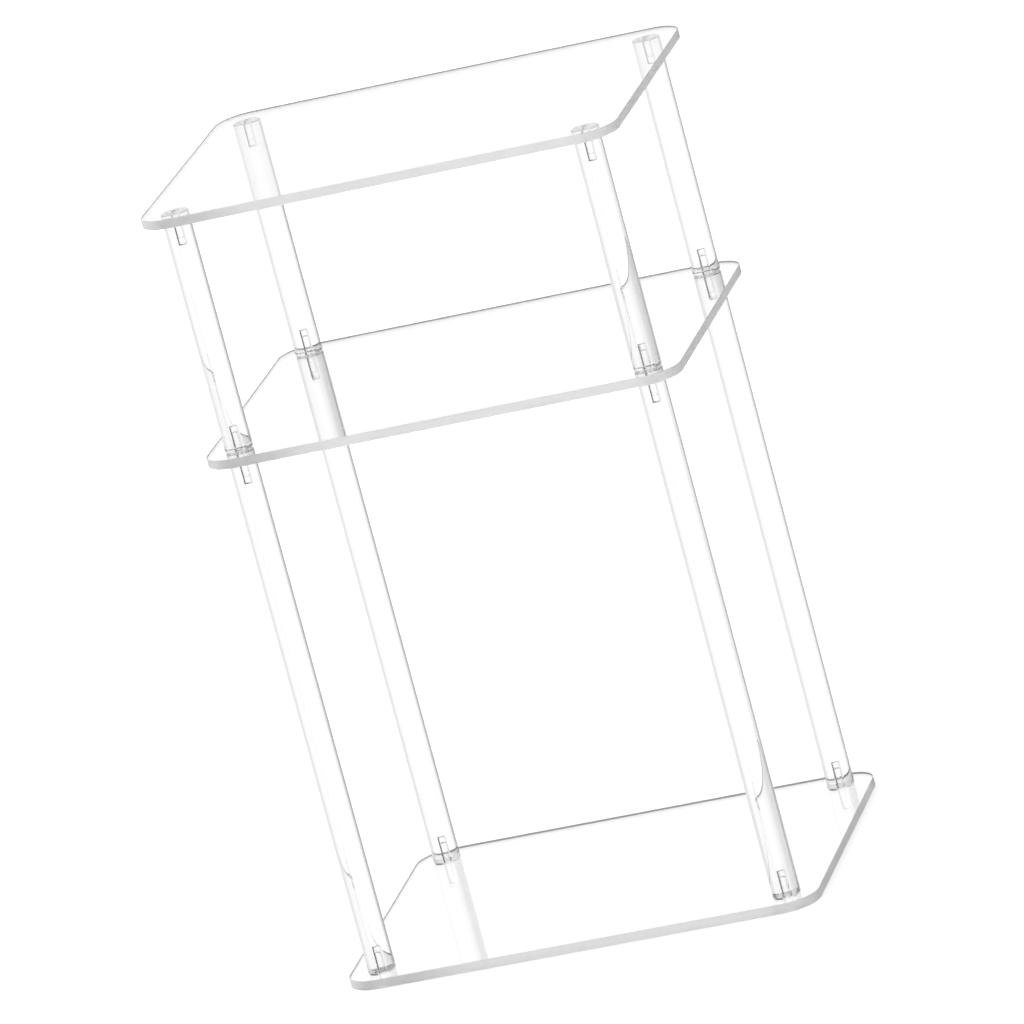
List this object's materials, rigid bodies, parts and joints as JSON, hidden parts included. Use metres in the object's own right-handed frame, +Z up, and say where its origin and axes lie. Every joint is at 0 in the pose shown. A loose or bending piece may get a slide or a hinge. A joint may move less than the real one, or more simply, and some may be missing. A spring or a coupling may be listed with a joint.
{
  "type": "brochure rack",
  "caption": "Clear acrylic display rack: round-cornered shelves on solid round corner posts, with a short open bay over a tall one, for leaflets and books.",
  "frame": {"origin": "middle of the footprint, on the floor under the base shelf", "axes": "+X to the right along the long side of the shelves, +Y to the back, +Z up along the posts"},
  "size_m": [0.52, 0.425, 0.862],
  "materials": {
    "shelf_acrylic": "polished",
    "post_acrylic": "polished",
    "stud_acrylic": "polished"
  },
  "bodies": {
    "root": {"base_shelf": "shelf_acrylic", "middle_shelf": "shelf_acrylic", "top_shelf": "shelf_acrylic", "lower_post_front_left": "post_acrylic", "lower_post_front_right": "post_acrylic", "lower_post_back_left": "post_acrylic", "lower_post_back_right": "post_acrylic", "upper_post_front_left": "post_acrylic", "upper_post_front_right": "post_acrylic", "upper_post_back_left": "post_acrylic", "upper_post_back_right": "post_acrylic", "base_stud_front_left": "stud_acrylic", "base_stud_front_right": "stud_acrylic", "base_stud_back_left": "stud_acrylic", "base_stud_back_right": "stud_acrylic", "middle_stud_front_left": "stud_acrylic", "middle_stud_front_right": "stud_acrylic", "middle_stud_back_left": "stud_acrylic", "middle_stud_back_right": "stud_acrylic", "top_stud_front_left": "stud_acrylic", "top_stud_front_right": "stud_acrylic", "top_stud_back_left": "stud_acrylic", "top_stud_back_right": "stud_acrylic"}
  },
  "joints": []
}
